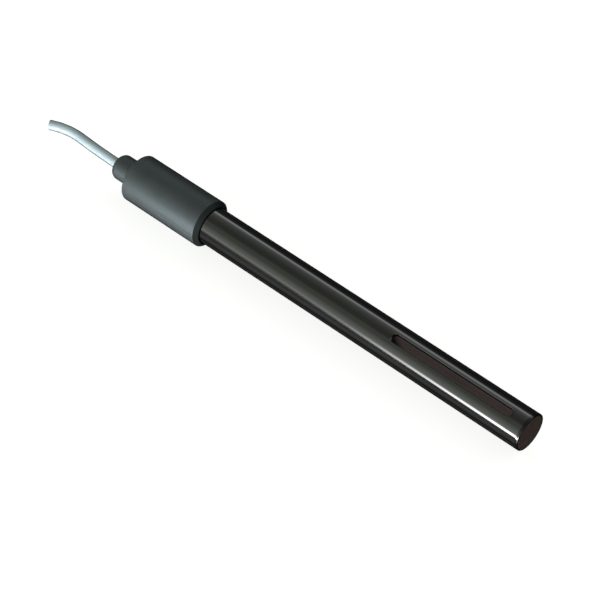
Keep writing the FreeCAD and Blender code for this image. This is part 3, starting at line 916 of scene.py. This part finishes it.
# A bright strip low on the -Y side, by degrees and by the direction's share along X. It lies lower
# towards +X.
STRIP = [(-15.5, 0.0), (-12.0, 1.0), (-3.5, 1.0), (1.5, 0.0)]
STRIP_SLOPE = 66.0        # degrees that it sinks over a share of 1 along X
STRIP_LEVEL_AT = -0.35    # the share along X where its degrees hold
STRIP_ALONG = [(-0.445, 0.0), (-0.415, 2.7), (-0.383, 15.0), (-0.35, 34.0), (0.0, 34.0), (0.06, 0.0)]

# The suns: degrees above the -Y horizon, share along X, spread in degrees and strength. The key is as low
# as the strip, but nearly square to the probe. The fill comes from under and behind.
KEY = {"degrees": -5.0, "along": -0.08, "spread": 16.0, "strength": 4.1}
FILL = {"degrees": -125.0, "along": -0.1, "spread": 60.0, "strength": 1.2}


def make_camera():
    azimuth = math.radians(CAMERA_AZIMUTH)
    elevation = math.radians(CAMERA_ELEVATION)
    back = Vector(
        (
            math.sin(azimuth) * math.cos(elevation),
            -math.cos(azimuth) * math.cos(elevation),
            math.sin(elevation),
        )
    )
    data = bpy.data.cameras.new("camera")
    data.lens = CAMERA_LENS
    data.sensor_width = SENSOR
    data.clip_start = 0.01
    camera = bpy.data.objects.new("camera", data)
    camera.location = CAMERA_AIM + back * CAMERA_DISTANCE
    camera.rotation_mode = "QUATERNION"
    camera.rotation_quaternion = (-back).to_track_quat("-Z", "Y")
    bpy.context.scene.collection.objects.link(camera)
    bpy.context.scene.camera = camera


def make_world():
    """A pale room to the camera. Surfaces see a soft studio that changes round the probe and along it."""
    world = bpy.data.worlds.new("studio")
    bpy.context.scene.world = world
    world.use_nodes = True
    tree = world.node_tree
    tree.nodes.clear()
    places = tree.nodes.new("ShaderNodeTexCoord")
    split = tree.nodes.new("ShaderNodeSeparateXYZ")
    tree.links.new(places.outputs["Generated"], split.inputs["Vector"])
    towards = math_node(tree, "MULTIPLY", split.outputs["Y"], -1.0)
    angle = math_node(tree, "ARCTAN2", split.outputs["Z"], towards)
    degrees = math_node(tree, "MULTIPLY", angle, math.degrees(1.0))
    along = split.outputs["X"]
    bands = ramp(tree, degrees, [(place, shade(tint, level)) for place, level, tint in BANDS])
    bands_along = ramp(tree, math_node(tree, "ABSOLUTE", along), greys(BANDS_ALONG))
    sunk = math_node(tree, "MULTIPLY_ADD", along, STRIP_SLOPE, -STRIP_LEVEL_AT * STRIP_SLOPE)
    strip = ramp(tree, math_node(tree, "ADD", degrees, sunk), greys(STRIP))
    strip_along = ramp(tree, along, greys(STRIP_ALONG))
    soft = vector_node(tree, "MULTIPLY", bands, bands_along)
    bright = vector_node(tree, "MULTIPLY", strip, strip_along)
    lit = tree.nodes.new("ShaderNodeBackground")
    tree.links.new(vector_node(tree, "ADD", soft, bright), lit.inputs["Color"])
    seen = tree.nodes.new("ShaderNodeBackground")
    seen.inputs["Color"].default_value = (*PALE, 1.0)
    path = tree.nodes.new("ShaderNodeLightPath")
    mix = tree.nodes.new("ShaderNodeMixShader")
    output = tree.nodes.new("ShaderNodeOutputWorld")
    tree.links.new(path.outputs["Is Camera Ray"], mix.inputs["Fac"])
    tree.links.new(lit.outputs["Background"], mix.inputs[1])
    tree.links.new(seen.outputs["Background"], mix.inputs[2])
    tree.links.new(mix.outputs["Shader"], output.inputs["Surface"])


def greys(stops):
    return [(place, (level, level, level)) for place, level in stops]


def ramp(tree, value, stops):
    """A colour that follows (value, colour) stops. Colours may be brighter than 1."""
    low = stops[0][0]
    high = stops[-1][0]
    peak = max(max(colour) for place, colour in stops)
    share = math_node(tree, "MULTIPLY_ADD", value, 1 / (high - low), -low / (high - low))
    node = tree.nodes.new("ShaderNodeValToRGB")
    elements = node.color_ramp.elements
    for place, colour in stops[1:-1]:
        elements.new((place - low) / (high - low))
    for element, (place, colour) in zip(elements, stops):
        element.color = (*shade(colour, 1 / peak), 1.0)
    tree.links.new(share, node.inputs["Fac"])
    scaled = tree.nodes.new("ShaderNodeVectorMath")
    scaled.operation = "SCALE"
    scaled.inputs["Scale"].default_value = peak
    tree.links.new(node.outputs["Color"], scaled.inputs[0])
    return scaled.outputs["Vector"]


def vector_node(tree, operation, first, second):
    node = tree.nodes.new("ShaderNodeVectorMath")
    node.operation = operation
    tree.links.new(first, node.inputs[0])
    tree.links.new(second, node.inputs[1])
    return node.outputs["Vector"]


def math_node(tree, operation, *values):
    node = tree.nodes.new("ShaderNodeMath")
    node.operation = operation
    for socket, value in zip(node.inputs, values):
        if isinstance(value, bpy.types.NodeSocket):
            tree.links.new(value, socket)
        else:
            socket.default_value = value
    return node.outputs["Value"]


FLOOR_SIZE = 3.0
FLOOR_GLOW = 0.80         # the floor's own light, which keeps it near white
FLOOR_ALBEDO = 0.45


def make_floor():
    """A pale floor under the probe, which only the camera sees. It takes the probe's soft shadow."""
    half = FLOOR_SIZE / 2
    corners = [(x * half, y * half, FLOOR_Z) for x, y in ((-1, -1), (1, -1), (1, 1), (-1, 1))]
    mesh = bpy.data.meshes.new("floor")
    mesh.from_pydata(corners, [], [(0, 1, 2, 3)])
    floor = bpy.data.objects.new("floor", mesh)
    bpy.context.scene.collection.objects.link(floor)
    material = bpy.data.materials.new("floor")
    material.use_nodes = True
    tree = material.node_tree
    tree.nodes.clear()
    diffuse = tree.nodes.new("ShaderNodeBsdfDiffuse")
    diffuse.inputs["Color"].default_value = (*shade(PALE, FLOOR_ALBEDO), 1.0)
    glow = tree.nodes.new("ShaderNodeEmission")
    glow.inputs["Color"].default_value = (*PALE, 1.0)
    glow.inputs["Strength"].default_value = FLOOR_GLOW
    both = tree.nodes.new("ShaderNodeAddShader")
    output = tree.nodes.new("ShaderNodeOutputMaterial")
    tree.links.new(diffuse.outputs["BSDF"], both.inputs[0])
    tree.links.new(glow.outputs["Emission"], both.inputs[1])
    tree.links.new(both.outputs["Shader"], output.inputs["Surface"])
    mesh.materials.append(material)
    floor.visible_diffuse = False
    floor.visible_glossy = False
    floor.visible_transmission = False
    floor.visible_shadow = False


def make_sun(name, degrees, along, spread, strength, mirrored):
    """A broad sun. It casts no shadow, so it also reaches into the slot."""
    turn = math.radians(degrees)
    across = math.sqrt(1 - along**2)
    towards = Vector((along, -across * math.cos(turn), across * math.sin(turn)))
    data = bpy.data.lights.new(name, "SUN")
    data.energy = strength
    data.angle = math.radians(spread)
    data.use_shadow = False
    light = bpy.data.objects.new(name, data)
    light.rotation_mode = "QUATERNION"
    light.rotation_quaternion = towards.to_track_quat("Z", "Y")
    light.visible_glossy = mirrored
    bpy.context.scene.collection.objects.link(light)


check_run()
build_probe(make_materials())
make_floor()
make_sun("key", **KEY, mirrored=True)
make_sun("fill", **FILL, mirrored=False)
make_world()
make_camera()
bpy.context.scene.view_settings.view_transform = "Standard"
